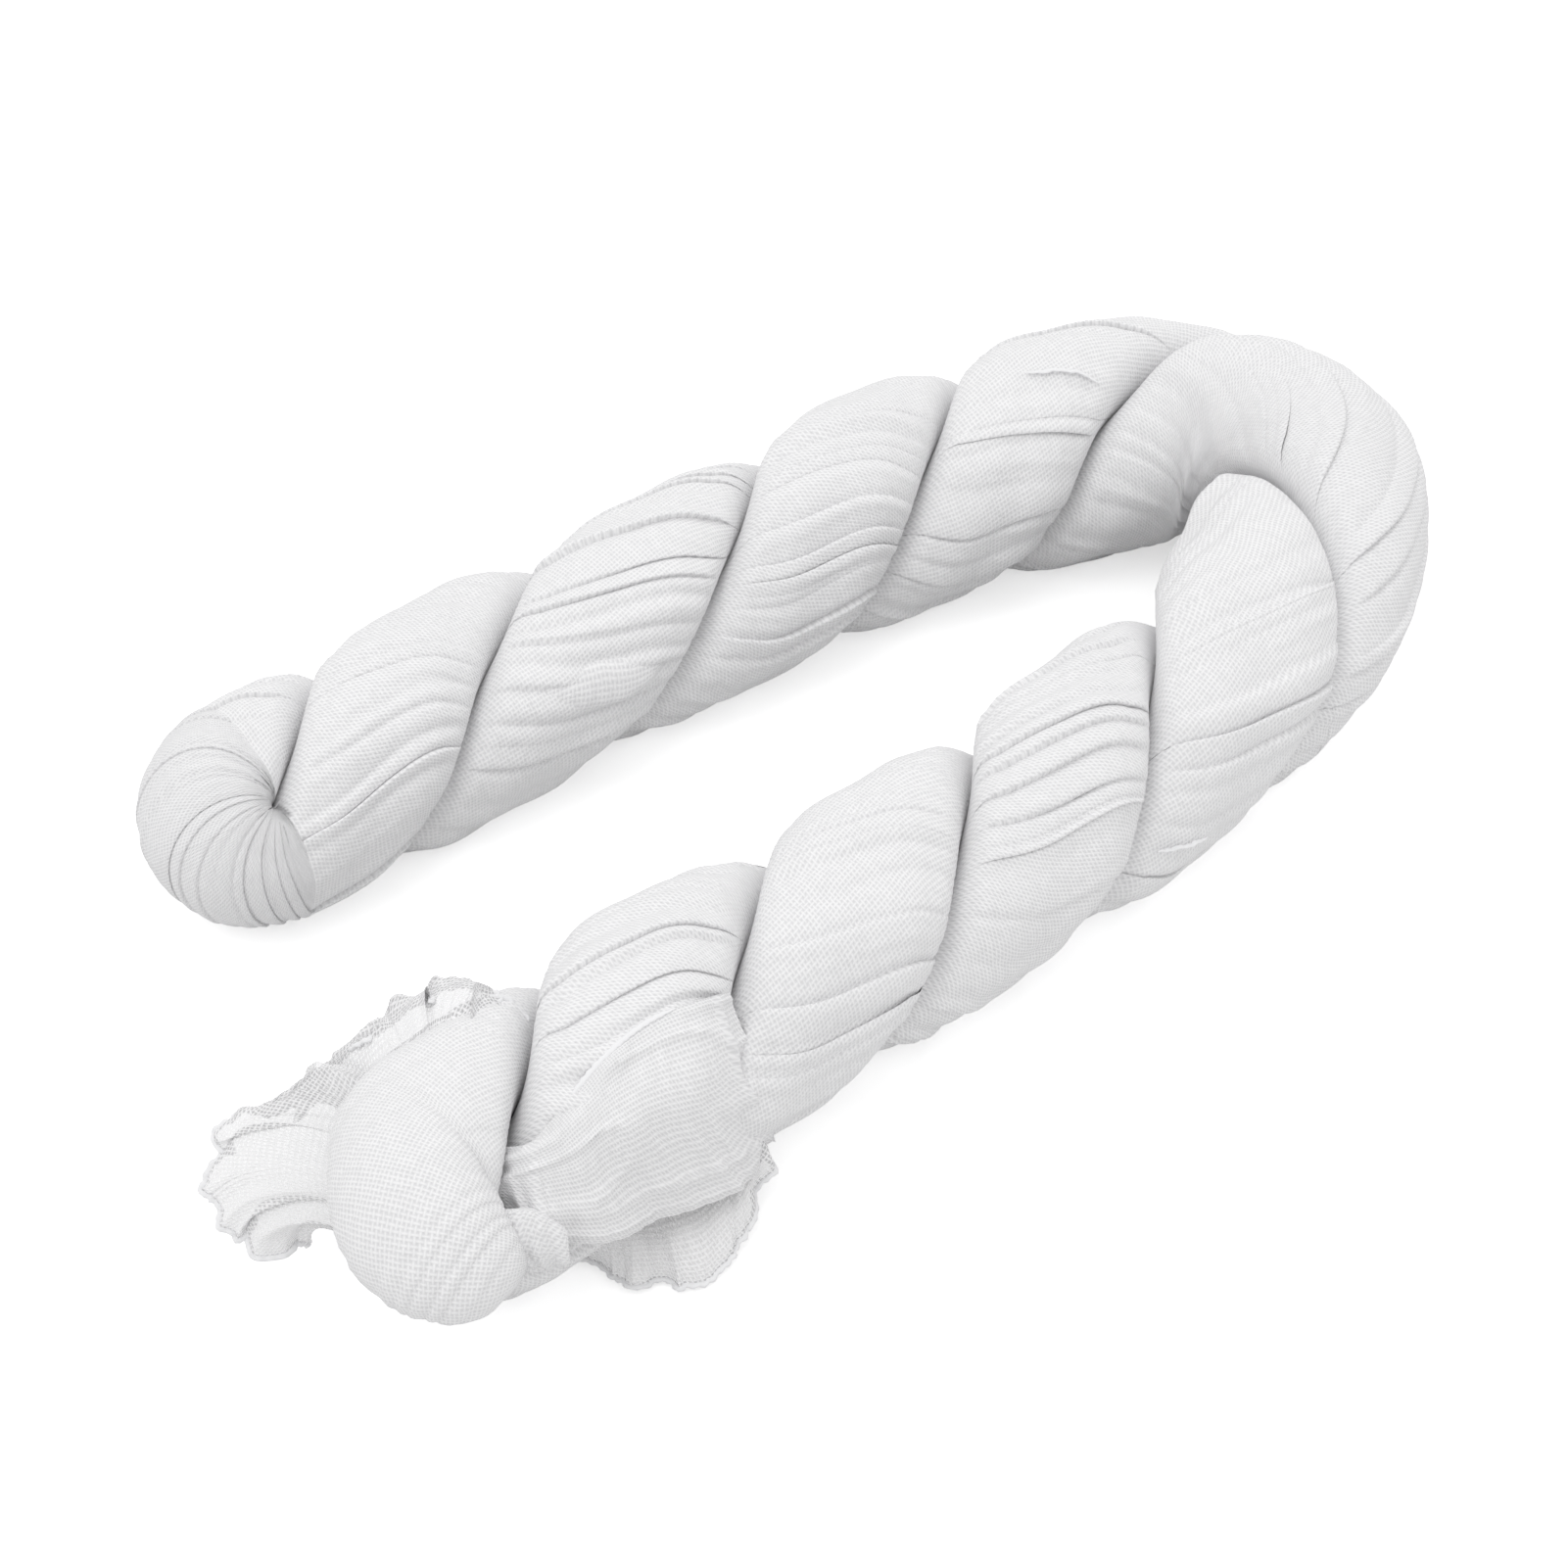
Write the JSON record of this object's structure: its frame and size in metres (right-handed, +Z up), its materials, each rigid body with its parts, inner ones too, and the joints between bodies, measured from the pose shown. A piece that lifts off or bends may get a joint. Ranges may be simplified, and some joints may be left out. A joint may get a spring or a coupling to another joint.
{
  "type": "baby wrap cloth",
  "caption": "Long white cotton gauze baby wrap, folded at its middle, twisted double into a two-strand hank and laid in a bend with its hemmed ends loose.",
  "frame": {"origin": "middle of the hank's outline, on the surface that it lies on", "axes": "+Z up from that surface; +Y from the loose ends towards the bend's far side"},
  "size_m": [0.3178, 0.3188, 0.0634],
  "materials": {
    "cotton_gauze": "open plain weave, matte",
    "overlocked_hem": "overlocked thread, matte"
  },
  "bodies": {
    "root": {"first_end_frill": "cotton_gauze", "first_end_frill_hem": "overlocked_hem", "first_half_bend": "cotton_gauze", "first_half_end_bundle": "cotton_gauze", "first_half_far_leg": "cotton_gauze", "first_half_near_leg": "cotton_gauze", "first_side_hem": "overlocked_hem", "loose_side_flap": "cotton_gauze", "loose_side_flap_hem": "overlocked_hem", "middle_fold": "cotton_gauze", "second_end_frill": "cotton_gauze", "second_end_frill_hem": "overlocked_hem", "second_half_bend": "cotton_gauze", "second_half_end_bundle": "cotton_gauze", "second_half_far_leg": "cotton_gauze", "second_half_near_leg": "cotton_gauze", "second_side_hem": "overlocked_hem"}
  },
  "joints": []
}
